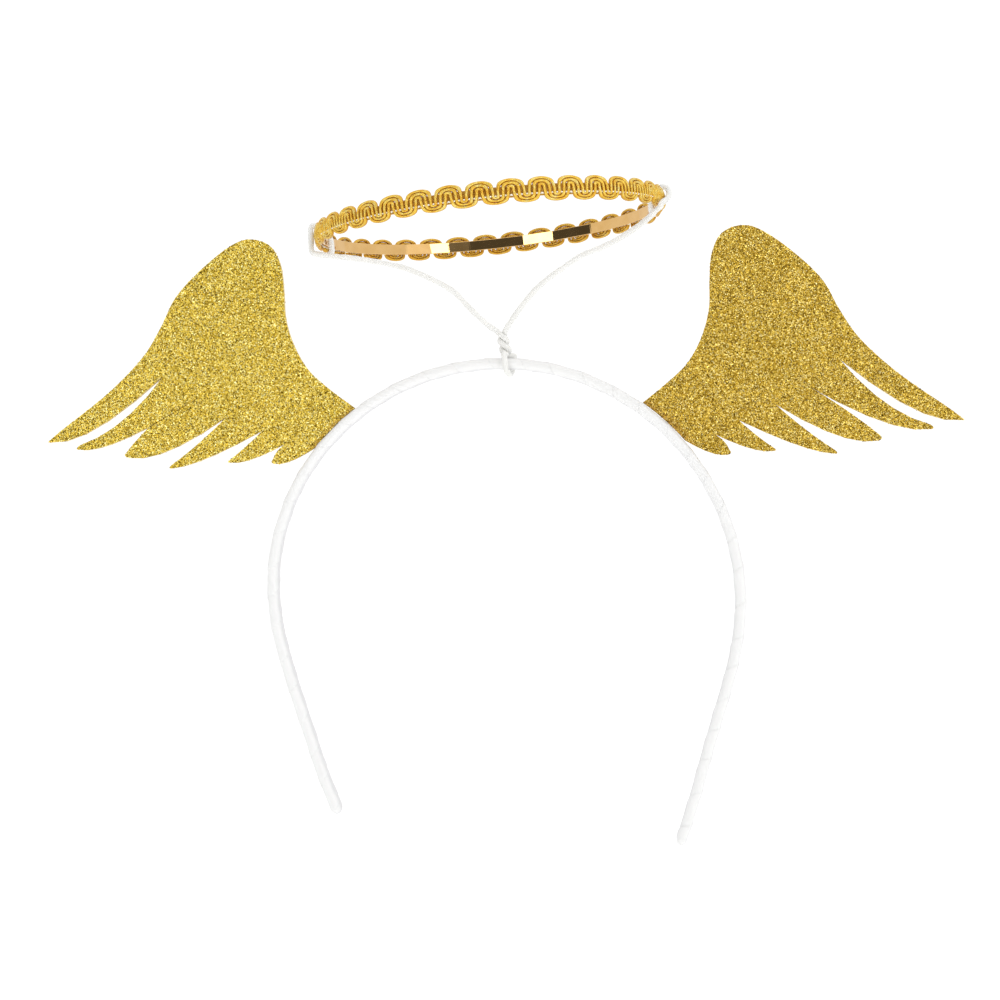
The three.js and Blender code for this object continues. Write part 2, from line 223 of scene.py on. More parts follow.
sky = add(room, "ShaderNodeBackground", {"Color": shown})
add(room, "ShaderNodeOutputWorld", {"Surface": sky.outputs[0]})
print("room:", len(ROOM_PARTS), "parts round the piece")

# %% [markdown]
# ## Soft boxes and the floor
# Two tall soft boxes stand in front, one on each side of the camera, and a wide one hangs overhead. In the
# picture the first two show as white patches in the halo's mirror strip, so their turns come from there.
# Point lamps would be simpler, but area lamps give gold and satin a shape to show. In the table turn and
# lift are degrees, wide and tall are metres, and power is watts.
# The floor is a plain pale sheet a little below the tips, which glows faintly. It sends light back up under
# the band and is marked as stage, so it isn't part of the object.

# %% Hang the lamps and lay the floor
RING_CENTRE = Vector((-0.0036, 0, 0.0414))
LAMP_DISTANCE = 1.3
LAMPS = [
    {"name": "left_box", "turn": -30.7, "lift": 5, "wide": 0.27, "tall": 0.7, "power": 2.6},
    {"name": "right_box", "turn": 41, "lift": 12, "wide": 0.27, "tall": 0.7, "power": 2.6},
    {"name": "overhead", "turn": 0, "lift": 88, "wide": 1.4, "tall": 1.4, "power": 2.4},
]
FLOOR_DROP = 0.03
FLOOR_SIZE = 12
FLOOR_GLOW = 0.2
FLOOR_CLOUDS = 6
FLOOR_TONES = [(0.3, (0.9, 0.9, 0.9)), (0.7, (0.94, 0.94, 0.935))]


def hang_lamp(row):
    """An area lamp from one row of the table, turned to the ring's centre."""
    turn, lift = math.radians(row["turn"]), math.radians(row["lift"])
    away = Vector((math.sin(turn) * math.cos(lift), -math.cos(turn) * math.cos(lift), math.sin(lift)))
    light = bpy.data.lights.new(row["name"], "AREA")
    light.shape = "RECTANGLE"
    light.size, light.size_y = row["wide"], row["tall"]
    light.energy = row["power"]
    lamp = bpy.data.objects.new(row["name"], light)
    scene.collection.objects.link(lamp)
    lamp.location = RING_CENTRE + away * LAMP_DISTANCE
    lamp.rotation_euler = away.to_track_quat("Z", "Y").to_euler()
    lamp.visible_camera = False


for row in LAMPS:
    hang_lamp(row)

finish, tree, shader = new_finish("pale_floor", Roughness=0.9, Emission_Strength=FLOOR_GLOW)
wire_up(tree, shader, ramp(tree, noise(tree, own_place(tree), FLOOR_CLOUDS), FLOOR_TONES))
shader.inputs["Emission Color"].default_value = (1, 1, 1, 1)
half = FLOOR_SIZE / 2
floor_corners = [(-half, -half, 0), (half, -half, 0), (half, half, 0), (-half, half, 0)]
floor_mesh = bpy.data.meshes.new("floor")
floor_mesh.from_pydata(floor_corners, [], [(0, 1, 2, 3)])
floor_mesh.materials.append(finish)
floor = bpy.data.objects.new("floor", floor_mesh)
scene.collection.objects.link(floor)
floor.location.z = CAD_BOX[0].z - FLOOR_DROP
floor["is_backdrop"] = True
print("lamps:", len(LAMPS), "floor at", round(floor.location.z / MM, 1), "mm")


# %% [markdown]
# ## Reading a course from a solid
# The wire and the band are both tubes along a curved course. To wind thread or ribbon round them, the
# middle line of that course is needed. It could be typed in again as points, which would drift from the
# solid at the first change, so it is read from the solid instead.
# A tube's points sit in rings. Starting from its flat end and stepping from each ring to its neighbours
# finds them all in order, and the middle of each ring is a point of the middle line. A flat end is cut
# into triangles that fan out from one corner, so the point where most edges meet lies on it.

# %% Find the rings of a tube
WELD = 1e-6
FLAT = math.radians(0.5)
WIRE_SIDES = 7
BAND_SIDES = 10


def flat_patch(start):
    """The faces that join a face without a bend."""
    patch, waiting = {start}, [start]
    while waiting:
        for edge in waiting.pop().edges:
            for face in edge.link_faces:
                if face not in patch and edge.calc_face_angle() < FLAT:
                    patch.add(face)
                    waiting.append(face)
    return patch


def tube_rings(node, sides):
    """The rings of points along a solid tube, from one flat end to the other."""
    mesh = bmesh.new()
    mesh.from_mesh(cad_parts[node].data)
    bmesh.ops.remove_doubles(mesh, verts=mesh.verts, dist=WELD)
    hub = max(mesh.verts, key=lambda point: len(point.link_edges))
    ends = [{point for face in flat_patch(start) for point in face.verts} for start in hub.link_faces]
    ring = next(end for end in ends if len(end) == sides)
    rings, seen = [], set(ring)
    while ring:
        rings.append(sorted(tuple(point.co) for point in ring))
        ring = {edge.other_vert(point) for point in ring for edge in point.link_edges} - seen
        seen |= ring
    mesh.free()
    return np.array(rings)


wire_rings = tube_rings("halo_wire", WIRE_SIDES)
band_rings = tube_rings("headband", BAND_SIDES)
print("wire rings", len(wire_rings), "band rings", len(band_rings))


# %% [markdown]
# ## Smooth lines
# Every thread, cord and ribbon below follows a line. The first tool draws a smooth curve through a few
# points and spaces new ones evenly along it. The second carries two directions along a line without
# twisting them, so that what winds round the line winds evenly.
# Blender's own curves could be the lines, but their points aren't spread evenly, and a thread that is wound
# from point to point would stretch in one place and bunch up in another.

# %% Tools for lines
CURVE_STEPS = 8


def unit(directions):
    """Directions with a length of 1."""
    return directions / np.linalg.norm(directions, axis=-1, keepdims=True)


def smooth_line(points, spacing, looped=False):
    """Evenly spaced points on a smooth curve through the given ones, and their distances along it."""
    points = np.asarray(points, float)
    if looped:
        knots = np.vstack([points[-1:], points, points[:2]])
    else:
        knots = np.vstack([2 * points[:1] - points[1:2], points, 2 * points[-1:] - points[-2:-1]])
    share = np.linspace(0, 1, CURVE_STEPS, endpoint=False)[None, :, None]
    before, start, end, after = (knots[i:len(knots) - 3 + i, None] for i in range(4))
    bend = 2 * before - 5 * start + 4 * end - after + share * (3 * (start - end) + after - before)
    curve = start + 0.5 * share * (end - before + share * bend)
    curve = np.vstack([curve.reshape(-1, points.shape[1]), knots[-2:-1]])
    along = np.concatenate([[0], np.cumsum(np.linalg.norm(np.diff(curve, axis=0), axis=1))])
    count = max(2, round(along[-1] / spacing))
    places = np.linspace(0, along[-1], count + 1)
    line = np.stack([np.interp(places, along, curve[:, axis]) for axis in range(points.shape[1])], 1)
    return (line[:-1], places[:-1]) if looped else (line, places)


def carried_directions(line):
    """Two directions across a line at each point, carried along it without a twist."""
    tangents = unit(np.gradient(line, axis=0))
    side = np.cross(tangents[0], (0, 0, 1))
    sides = []
    for tangent in tangents:
        side = unit(side - tangent * (side @ tangent))
        sides.append(side)
    sides = np.array(sides)
    return sides, np.cross(tangents, sides)


print("tools:", ", ".join(tool.__name__ for tool in (unit, smooth_line, carried_directions)))

# %% [markdown]
# ## Skins and pieces
# A skin joins rings of points into one closed tube. It carries a map named thread, which tells a finish how
# far along the tube a spot lies and how far round it.
# Curve objects with a round bevel would be quicker, but they can't hold a ribbon's overlap or a wound
# thread. Every new piece then rides on the part's body.

# %% Tools for skins and pieces
def skin(name, rings, places, looped=False):
    """A closed tube over rings of points. Its thread map holds metres along it and turns round it."""
    count, sides = rings.shape[:2]
    rows = count if looped else count - 1
    row, side = (grid.ravel() for grid in np.mgrid[:rows, :sides])
    corners = [(row, side), (row, side + 1), (row + 1, side + 1), (row + 1, side)]
    quads = np.stack([(r % count) * sides + s % sides for r, s in corners], 1)
    ends = [] if looped else [list(range(sides)), list(range((count - 1) * sides, count * sides))]
    mesh = bpy.data.meshes.new(name)
    mesh.from_pydata(rings.reshape(-1, 3).tolist(), [], quads.tolist() + ends)
    reach = np.append(places, places[-1] + (places[1] - places[0]))
    marks = np.stack([np.stack([reach[r], s / sides], -1) for r, s in corners], 1)
    filled = np.zeros((len(mesh.loops), 2))
    filled[:quads.size] = marks.reshape(-1, 2)
    mesh.uv_layers.new(name="thread").data.foreach_set("uv", filled.ravel())
    return mesh


def thread_map(tree):
    """The two numbers of a mesh's thread map, by the names X and Y."""
    return parts_of(tree, add(tree, "ShaderNodeUVMap", uv_map="thread").outputs[0])


def new_piece(name, mesh, finish, slot, smooth=True):
    """Puts a mesh in the scene with its finish, riding on the part."""
    turned = bmesh.new()
    turned.from_mesh(mesh)
    bmesh.ops.recalc_face_normals(turned, faces=turned.faces)
    turned.to_mesh(mesh)
    turned.free()
    mesh.polygons.foreach_set("use_smooth", [smooth] * len(mesh.polygons))
    mesh.materials.append(finish)
    piece = bpy.data.objects.new(name, mesh)
    scene.collection.objects.link(piece)
    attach(piece, "root")
    mesh.calc_loop_triangles()
    print(name, len(mesh.loop_triangles), "triangles")
    return piece


print("tools:", ", ".join(tool.__name__ for tool in (skin, thread_map, new_piece)))

# %% [markdown]
# ## The cotton-covered wire
# The halo stands on a soft wire wound with white cotton thread. The wire loops once round the band, its
# two strands twist into a short stem and part into two arms, and each arm is tied round the ring.
# A bump map could draw the thread, but the wire stands against white, so its outline has to be uneven too.
# The thread is therefore wound in the mesh: each ring of points swells where the thread passes over it.
# Two slow swells of different lengths add the lumps of a hand-wound thread.

# %% Wind the thread
THREAD_PITCH = 0.6 * MM
THREAD_RELIEF = 0.018 * MM
THREAD_STEP = 0.11 * MM
THREAD_SIDES = 12
LUMP = 0.035 * MM
LUMP_LENGTHS = (3.1 * MM, 7.7 * MM)
COTTON_CLOUDS = 300
COTTON_TONES = [(0.3, (0.81, 0.81, 0.785)), (0.7, (0.86, 0.86, 0.84))]

wire_course = wire_rings.mean(axis=1)
middle = len(wire_rings) // 2
wire_radius = np.linalg.norm(wire_rings[middle] - wire_course[middle], axis=1).mean()
wire_line, wire_places = smooth_line(wire_course, THREAD_STEP)
across, up = carried_directions(wire_line)
angles = np.arange(THREAD_SIDES) * 2 * math.pi / THREAD_SIDES
thread = np.cos(2 * math.pi * wire_places[:, None] / THREAD_PITCH - angles)
lumps = sum(np.sin(2 * math.pi * wire_places / length) for length in LUMP_LENGTHS)[:, None]
radii = (wire_radius + THREAD_RELIEF * thread + LUMP * lumps)[..., None]
outward = across[:, None] * np.cos(angles)[:, None] + up[:, None] * np.sin(angles)[:, None]
wire_skin = skin("cotton_wire", wire_line[:, None] + radii * outward, wire_places)

finish, tree, shader = new_finish("white_cotton_thread", Roughness=0.85)
wire_up(tree, shader, ramp(tree, noise(tree, own_place(tree), COTTON_CLOUDS, detail=1), COTTON_TONES))
cotton_wire = new_piece("cotton_wire", wire_skin, finish, "covered_wire")
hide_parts("halo_wire")
print("wire", round(wire_places[-1] / MM, 1), "mm long,", round(2 * wire_radius / MM, 2), "mm thick")

# %% [markdown]
# ## The band under the ribbon
# The band is a flat springy strip with half-round edges and rounded tips. The ribbon has to follow its
# outline in finer steps than the ten points of the solid.
# More points could be put between those ten, but they would lie on the solid's flats and not on the round.
# So two sizes are measured on the solid, half the thickness and half the depth, and a formula draws the
# rounded outline from them. It goes along one side, round an edge, back along the other side and round
# the other edge.

# %% Measure the band
BAND_STEP = 0.5 * MM
FULL_DEPTH = 0.999

band_course = band_rings.mean(axis=1)
depths = np.abs(band_rings[:, :, 1]).max(axis=1)
half_depth = depths.max()
middle = len(band_rings) // 2
half_thickness = np.linalg.norm((band_rings[middle] - band_course[middle])[:, [0, 2]], axis=1).max()
band_line, band_places = smooth_line(band_course, BAND_STEP)
band_length = band_places[-1]
tip_course = band_course[:int(np.argmax(depths > FULL_DEPTH * half_depth)) + 1]
tip_length = np.linalg.norm(np.diff(tip_course, axis=0), axis=1).sum()


def band_outline(share):
    """Points on the band's outline, and the ways out of it, as (through, along the depth) pairs."""
    straight = half_depth - half_thickness
    quarter = math.pi * half_thickness / 2
    way = (share % 1) * (4 * straight + 4 * quarter)
    turn = np.zeros_like(way)
    shift = np.zeros_like(way)
    lengths = [2 * straight, 2 * quarter, 2 * straight, 2 * quarter]
    starts = np.cumsum([0] + lengths[:-1])
    on = [(way >= start) & (way < start + length) for start, length in zip(starts, lengths)]
    shift[on[0]] = way[on[0]] - straight
    turn[on[1]] = (way[on[1]] - starts[1]) / half_thickness
    shift[on[1]] = straight
    shift[on[2]] = straight - (way[on[2]] - starts[2])
    turn[on[2]] = math.pi
    turn[on[3]] = math.pi + (way[on[3]] - starts[3]) / half_thickness
    shift[on[3]] = -straight
    out = np.stack([np.cos(turn), np.sin(turn)], -1)
    return out * half_thickness + np.stack([np.zeros_like(shift), shift], -1), out


print("band", round(band_length / MM), "mm long, tips rounded over", round(tip_length / MM, 2), "mm")


# %% [markdown]
# ## The ribbon round the band
# White satin ribbon is wound tightly over the band from tip to tip. Each turn lies partly on the one
# before, so a low step runs slantwise round the band at every turn.
# A straight tube with a bump would miss those steps in the outline. Here the mesh itself is wound: its rows
# follow the ribbon's edges round and round, and one narrow row of faces makes the step. The ribbon lies a
# step higher at its edge and comes down to the band over the next part of the turn. Two slow waves let
# its edges sway as a hand lays them. At the two tips the rows close over the rounded end.

# %% Shape the ribbon
RIBBON_PITCH = 9 * MM
RIBBON_STEP = 0.13 * MM
RIBBON_SWAY = 0.5 * MM
SWAY_WAVES = ((2.1, 1.0), (5.3, 0.6))
STEP_WIDTH = 0.015
LAP_START = 0.1
LAP_END = 0.42
TURN_ROWS = 24
BAND_POINTS = 36
SPARE_TURNS = 2


def ribbon_lift(row_share):
    """How high each row of a turn stands over the band, from its share of the turn."""
    fall = np.clip((row_share - LAP_START) / (LAP_END - LAP_START), 0, 1)
    return np.where(row_share == 0, 0, 1 - fall * fall * (3 - 2 * fall)) * RIBBON_STEP


def along_band(reach, values):
    """What holds at the points of the band's middle line, read at other distances along it."""
    return np.stack([np.interp(reach, band_places, values[:, axis]) for axis in range(3)], -1)


def ribbon_points(row_turn, lift):
    """The points of every row, each row one slanting way round the band."""
    side = np.arange(BAND_POINTS) / BAND_POINTS
    turn = row_turn[:, None] - side
    sway = RIBBON_SWAY * sum(share * np.sin(rate * turn) for rate, share in SWAY_WAVES)
    reach = np.clip(RIBBON_PITCH * turn + sway, 0, band_length)
    from_tip = np.clip(np.minimum(reach, band_length - reach) / tip_length, 0, 1)
    size = np.sqrt(1 - (1 - from_tip) ** 2)[..., None]
    ways = unit(np.gradient(band_line, axis=0))
    outward = np.stack([-ways[:, 2], np.zeros(len(ways)), ways[:, 0]], -1)
    outward *= np.sign(outward[len(outward) // 2, 2])
    outline, out = band_outline(side)
    flat = (outline[None] + out[None] * lift[:, None, None]) * size
    through = along_band(reach, outward) * flat[..., :1]
    return along_band(reach, band_line) + through + np.array([0, 1, 0]) * flat[..., 1:]


print("ribbon:", round(band_length / RIBBON_PITCH), "turns round the band")


# %% [markdown]
# ## Closing the ribbon
# The rows are joined into faces, and the last point of each row joins the first point of the row one whole
# turn before, because the ribbon goes on round.
# Blender's screw modifier winds a profile too, but only round a straight axis and without a lap. Past each
# tip the spare turns all fall on one point, so points that lie on each other are joined and what is left
# over goes. The thread map holds metres along the ribbon and metres across it, for the weave.

# %% Wind the ribbon
def join_points(mesh):
    """Joins the points of a mesh that lie on each other, and drops what that leaves over."""
    joined = bmesh.new()
    joined.from_mesh(mesh)
    bmesh.ops.remove_doubles(joined, verts=joined.verts, dist=WELD)
    bmesh.ops.dissolve_degenerate(joined, edges=joined.edges, dist=WELD)
    loose = [point for point in joined.verts if not point.link_faces]
    bmesh.ops.delete(joined, geom=loose, context="VERTS")
    joined.to_mesh(mesh)
    joined.free()


def ribbon_mesh(name):
    """The wound ribbon as one closed skin."""
    rows_in_turn = [0.0, STEP_WIDTH] + [row / TURN_ROWS for row in range(1, TURN_ROWS)]
    step = len(rows_in_turn)
    turns = math.ceil(band_length / RIBBON_PITCH) + 2 * SPARE_TURNS
    row_turn = np.array([turn - SPARE_TURNS + share for turn in range(turns) for share in rows_in_turn])
    row_share = np.array(rows_in_turn * turns)
    points = ribbon_points(row_turn, ribbon_lift(row_share))
    row, side = (grid.ravel() for grid in np.mgrid[step:len(row_turn) - 1, :BAND_POINTS])
    corners = [(row, side), (row + 1, side), (row + 1, side + 1), (row, side + 1)]
    quads = np.stack([
        (r - step * (s // BAND_POINTS)) * BAND_POINTS + s % BAND_POINTS for r, s in corners
    ], 1)
    mesh = bpy.data.meshes.new(name)
    mesh.from_pydata(points.reshape(-1, 3).tolist(), [], quads.tolist())
    girth = 2 * math.pi * half_thickness + 4 * (half_depth - half_thickness)
    marks = np.stack([
        np.stack([girth * (s / BAND_POINTS - r // step), RIBBON_PITCH * row_share[r]], -1)
        for r, s in corners
    ], 1)
    mesh.uv_layers.new(name="thread").data.foreach_set("uv", marks.ravel())
    join_points(mesh)
    return mesh


wound_ribbon = ribbon_mesh("ribbon_winding")
print("ribbon:", len(wound_ribbon.polygons), "faces")

# %% [markdown]
# ## The satin
# The satin's colour carries painted shade: it is bright where it faces the front and greyer where it
# turns away, which is how a white band reads at all against white. Wound by hand it is also a little
# cloudy.
# A sheen on the shader would brighten the edges, where the picture shows the band at its greyest. So the
# tone follows the way the surface faces, as painted shade, with soft clouds mixed in. The direction is the
# part's own and not the camera's, so it holds in every view. Fine ribs that run along the ribbon are a low
# bump.

# %% Finish the satin
RIB_PITCH = 0.35 * MM
RIB_SHARE = 0.3
SATIN_CLOUDS = 350
CLOUD_SHARE = 0.2
SATIN_RELIEF = 0.02 * MM
SATIN_PAINTED_SHADE_TONES = [(0.1, (0.68, 0.68, 0.69)), (0.5, (0.81, 0.81, 0.81)), (0.9, (0.86, 0.86, 0.855))]

finish, tree, shader = new_finish("white_satin_ribbon", Roughness=0.42)
rib = sums(tree, "SINE", sums(tree, "MULTIPLY", thread_map(tree)["Y"], 2 * math.pi / RIB_PITCH))
cloud = noise(tree, own_place(tree), SATIN_CLOUDS, detail=3)
normal = add(tree, "ShaderNodeNewGeometry").outputs["Normal"]
facing = sums(tree, "ABSOLUTE", parts_of(tree, normal)["Y"])
# Painted shade: the tone is greyer where the surface faces neither the front nor the back.
tone = ramp(tree, sums(tree, "MULTIPLY_ADD", cloud, CLOUD_SHARE, facing), SATIN_PAINTED_SHADE_TONES)
height = sums(tree, "MULTIPLY_ADD", rib, RIB_SHARE, cloud)
wire_up(tree, shader, tone, height=height, relief=SATIN_RELIEF)
ribbon_winding = new_piece("ribbon_winding", wound_ribbon, finish, "ribbon")
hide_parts("headband")


# %% [markdown]
# ## The ring's own directions
# The halo is a flat ring, a little tilted to one side. Everything on it is easiest to place by a turn
# round the ring, a distance from its middle and a height above its plane.
# The tilt could be typed in, but the mirror strip's solid gives it: the direction in which its points
# spread least is the ring's axis, and their middle is the ring's.

# %% Measure the ring
def node_points(node):
    """Every point of a solid, once."""
    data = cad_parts[node].data
    points = np.zeros(len(data.vertices) * 3)
    data.vertices.foreach_get("co", points)
    return np.unique(points.reshape(-1, 3).round(7), axis=0)


strip_points = node_points("halo_hoop")
ring_middle = strip_points.mean(axis=0)
ring_up = np.linalg.svd(strip_points - ring_middle)[2][2]
ring_up *= np.sign(ring_up[2])
ring_across = unit(np.array([1, 0, 0]) - ring_up * ring_up[0])
ring_deep = np.cross(ring_up, ring_across)


def on_ring(turn, radius, height):
    """Places on the ring from turns in radians, distances from its axis and heights above its plane."""
    turn, radius, height = np.broadcast_arrays(turn, radius, height)
    flat = np.cos(turn)[..., None] * ring_across + np.sin(turn)[..., None] * ring_deep
    return ring_middle + flat * radius[..., None] + ring_up * height[..., None]


def ring_sizes(points):
    """The least and greatest distance from the ring's axis, and half the height."""
    offset = points - ring_middle
    height = offset @ ring_up
    radius = np.linalg.norm(offset - height[:, None] * ring_up, axis=1)
    return radius.min(), radius.max(), np.abs(height).max()


strip_inner, strip_outer, strip_half = ring_sizes(strip_points)
braid_inner, braid_outer, braid_half = ring_sizes(node_points("halo_braid"))
print("ring tilt", round(math.degrees(math.asin(-ring_up[0])), 2), "degrees")
print("strip", [round(size / MM, 2) for size in (strip_inner, strip_outer, strip_half)], "mm")
print("braid", [round(size / MM, 2) for size in (braid_inner, braid_outer, braid_half)], "mm")

# %% [markdown]
# ## The mirror strip
# Inside the braid runs a thin plastic strip with gold mirror film, which keeps the halo round. It bends in
# short flats with a crease between them, so each flat mirrors one direction: some show a soft box, some
# the dark room, and the rest the white walls.
# A smooth ring would smear these patches into each other. The strip is built from flats instead, shaded
# flat, with a narrow face at each crease and a chamfer along its edges. The far creases are turns in
# degrees, chosen so that the patches start and end where the picture has them. The others are even.

# %% Fold the strip
FAR_CREASES = (26, 34, 44, 54, 70, 82, 92, 102, 110, 117, 127, 134)
OTHER_CREASES = {"first": 144, "end": 386, "count": 31}
CREASE_WIDTH = 0.4 * MM
CHAMFER = 0.12 * MM
LEAN = 0.012 * MM
LEAN_SEED = 5


def strip_mesh(name):
    """The strip as a ring of flats, each leaning a little in or out."""
    even = np.linspace(OTHER_CREASES["first"], OTHER_CREASES["end"], OTHER_CREASES["count"], endpoint=False)
    creases = np.radians(np.concatenate([FAR_CREASES, even]))
    ends = np.append(creases[1:], creases[0] + 2 * math.pi)
    crease = CREASE_WIDTH / strip_inner / 2
    turns = np.stack([creases + crease, ends - crease], 1).ravel()
    chance = np.random.default_rng(LEAN_SEED)
    lean = np.repeat(chance.uniform(-LEAN, LEAN, len(creases)), 2)[:, None]
    inner, outer, top = strip_inner, strip_outer, strip_half
    profile = np.array([
        (inner, -top + CHAMFER), (inner, top - CHAMFER), (inner + CHAMFER, top), (outer - CHAMFER, top),
        (outer, top - CHAMFER), (outer, -top + CHAMFER), (outer - CHAMFER, -top), (inner + CHAMFER, -top),
    ])
    radius = profile[:, 0] + lean * np.sign(profile[:, 1])
    rings = on_ring(turns[:, None], radius, profile[:, 1])
    return skin(name, rings, turns * strip_inner, looped=True)


folded_strip = strip_mesh("mirror_strip")
print("strip:", len(FAR_CREASES) + OTHER_CREASES["count"], "flats")

# %% [markdown]
# ## Film and glue
# The film is a nearly clean gold mirror, with slow waves that bend what it shows. The back of the strip
# has no film: glue holds it to the braid. Its brown gold between the cords is partly its own tone and
# partly painted shade, where the cords shade it. Two objects could carry the two finishes, but the strip
# is one piece. Each face points to the finish it takes instead, and the faces that look out of the ring,
# chamfers included, take the glued back.

# %% Finish the strip
FILM_TONES = [(0.3, (0.71, 0.435, 0.16)), (0.7, (0.77, 0.49, 0.2))]
FILM_GLOSS = (0.03, 0.12)
FILM_SMEARS = 300
FILM_WAVES = 420
FILM_RELIEF = 0.02 * MM
STRIP_BACK_TONES_PART_PAINTED_SHADE = [(0.3, (0.58, 0.34, 0.03)), (0.7, (0.82, 0.50, 0.08))]
GLUE_CLOUDS = 900
STRIP_SIDES = 8
STRIP_BACK = (3, 4, 5)

finish, tree, shader = new_finish("gold_mirror_film", Metallic=1.0)
place = own_place(tree)
smear = noise(tree, place, FILM_SMEARS, detail=3)
waves = noise(tree, place, FILM_WAVES, detail=3)
wire_up(tree, shader, ramp(tree, smear, FILM_TONES), spread(tree, smear, *FILM_GLOSS), waves, FILM_RELIEF)
mirror_strip = new_piece("mirror_strip", folded_strip, finish, "mirror_strip", smooth=False)
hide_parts("halo_hoop")

# The glued back: brown gold, partly painted shade between the cords.
glue, tree, shader = new_finish("glued_strip_back_part_painted_shade", Roughness=0.5)
wire_up(tree, shader, ramp(tree, noise(tree, own_place(tree), GLUE_CLOUDS), STRIP_BACK_TONES_PART_PAINTED_SHADE))
folded_strip.materials.append(glue)
side = np.arange(len(folded_strip.polygons)) % STRIP_SIDES
folded_strip.polygons.foreach_set("material_index", np.isin(side, STRIP_BACK).astype(int))

# %% [markdown]
# ## One scallop of the gimp braid
# Gimp is a furnishing braid. Three cords wrapped in gold foil run side by side in one winding bundle: over
# the top of a scallop, down, under the next one and up again. The cord that takes the wide bend above
# takes the tight one below, so each scallop shows three nested arcs, and upright bars stand between them.
# A net of bumps on a band would look flat from the side. Three real cords, each one closed line through a
# few chosen places for every scallop, give the arcs, the bars and the small openings in one go.
# In the tables reaches, feet and crests are those of the inner, middle and outer arc: how far its feet
# stand from its middle, and how high its feet and its top lie. The widths are half the cord's width from
# one foot to the other, least over the top, where the cord is pulled tight.

# %% Lay out a scallop
SCALLOP_WIDTH = 8.4 * MM
BAR_HALF_WIDTH = 0.43 * MM
UPPER_ARCS = {
    "reaches": [0.68 * MM, 2.0 * MM, 3.3 * MM],
    "feet": [0.75 * MM, 1.0 * MM, 1.1 * MM],
    "crests": [1.2 * MM, 2.04 * MM, 2.88 * MM],
    "widths": [0.5 * MM, 0.58 * MM, 0.47 * MM, 0.42 * MM, 0.47 * MM, 0.58 * MM, 0.5 * MM],
}
LOWER_ARCS = {
    "reaches": [0.68 * MM, 1.95 * MM, 3.15 * MM],
    "feet": [-1.2 * MM, -1.4 * MM, -1.45 * MM],
    "crests": [-1.62 * MM, -2.27 * MM, -2.9 * MM],
    "widths": [0.5 * MM, 0.52 * MM, 0.38 * MM, 0.33 * MM, 0.38 * MM, 0.52 * MM, 0.5 * MM],
}
CORDS = [
    {"name": "gimp_cord_inner", "bar": 0.7 * MM, "above": 0, "below": 2},
    {"name": "gimp_cord_middle", "bar": 2.1 * MM, "above": 1, "below": 1},
    {"name": "gimp_cord_outer", "bar": 3.5 * MM, "above": 2, "below": 0},
]

scallops = round(2 * math.pi * braid_outer / SCALLOP_WIDTH)
scallop_pitch = 2 * math.pi * braid_outer / scallops


def half_arc(middle, arcs, which):
    """Places on half an ellipse, as (along, height, half width) rows."""
    foot, crest, widths = arcs["feet"][which], arcs["crests"][which], arcs["widths"]
    rows = []
    for angle, width in zip(np.linspace(math.pi, 0, len(widths)), widths):
        along = middle + arcs["reaches"][which] * math.cos(angle)
        rows.append((along, foot + (crest - foot) * math.sin(angle), width))
    return rows


def scallop_places(cord):
    """The places of a cord in one scallop: an arc above, a bar down, an arc below and a bar up."""
    bar = cord["bar"]
    return np.array([
        *half_arc(0, UPPER_ARCS, cord["above"]), (bar, 0, BAR_HALF_WIDTH),
        *half_arc(scallop_pitch / 2, LOWER_ARCS, cord["below"]), (scallop_pitch - bar, 0, BAR_HALF_WIDTH),
    ])


print("scallops", scallops, "pitch", round(scallop_pitch / MM, 2), "mm")


# %% [markdown]
# ## The braid round the ring
# The scallops follow each other round the ring, a little wider at the back than at the front. The braid's
# middle stands further out than its edges, and the wire's two ties draw its lower edge up.
# One scallop could be copied with an array and bent to the ring, but the copies would have to be sewn
# together. Here every scallop adds its places to one line, and the line closes on itself.

# %% Lay the course of a cord
BRAID_TURN = math.radians(3.5)
BRAID_EASE = math.radians(1.3)
CORD_HALF_DEPTH = 0.55 * MM
TIES = [{"turn": 178, "draw": 0.5 * MM}, {"turn": 6, "draw": 1.7 * MM}]
TIE_REACH = 13 * MM


def braid_turn(share):
    """The turn round the ring, in radians, of a share of the braid's length."""
    turn = 2 * math.pi * share
    return turn + BRAID_TURN - BRAID_EASE * np.cos(turn)


def drawn_up(turn, height):
    """Heights, with those below the middle drawn up where a tie pulls on the braid."""
    pull = np.zeros_like(turn)
    for tie in TIES:
        apart = (turn - math.radians(tie["turn"]) + math.pi) % (2 * math.pi) - math.pi
        near = np.minimum(1, braid_outer * np.abs(apart) / TIE_REACH)
        pull += tie["draw"] * np.cos(near * math.pi / 2) ** 2
    return np.where(height < 0, height * (1 - pull / braid_half), height)


def cord_course(cord):
    """The places of one cord round the whole ring, with its half width as a fourth number."""
    places = scallop_places(cord)
    scallop = np.arange(scallops)[:, None]
    share = (scallop + 0.5 + places[None, :, 0] / scallop_pitch) / scallops
    turn = braid_turn(share)
    height = np.broadcast_to(places[:, 1], share.shape)
    rise = np.abs(height) / braid_half
    radius = braid_outer - CORD_HALF_DEPTH - (braid_outer - braid_inner - 2 * CORD_HALF_DEPTH) * rise ** 2
    width = np.broadcast_to(places[:, 2], share.shape)[..., None]
    return np.concatenate([on_ring(turn, radius, drawn_up(turn, height)), width], axis=2).reshape(-1, 4)


cord_courses = {cord["name"]: cord_course(cord) for cord in CORDS}
print("places to a cord:", len(cord_courses["gimp_cord_inner"]))
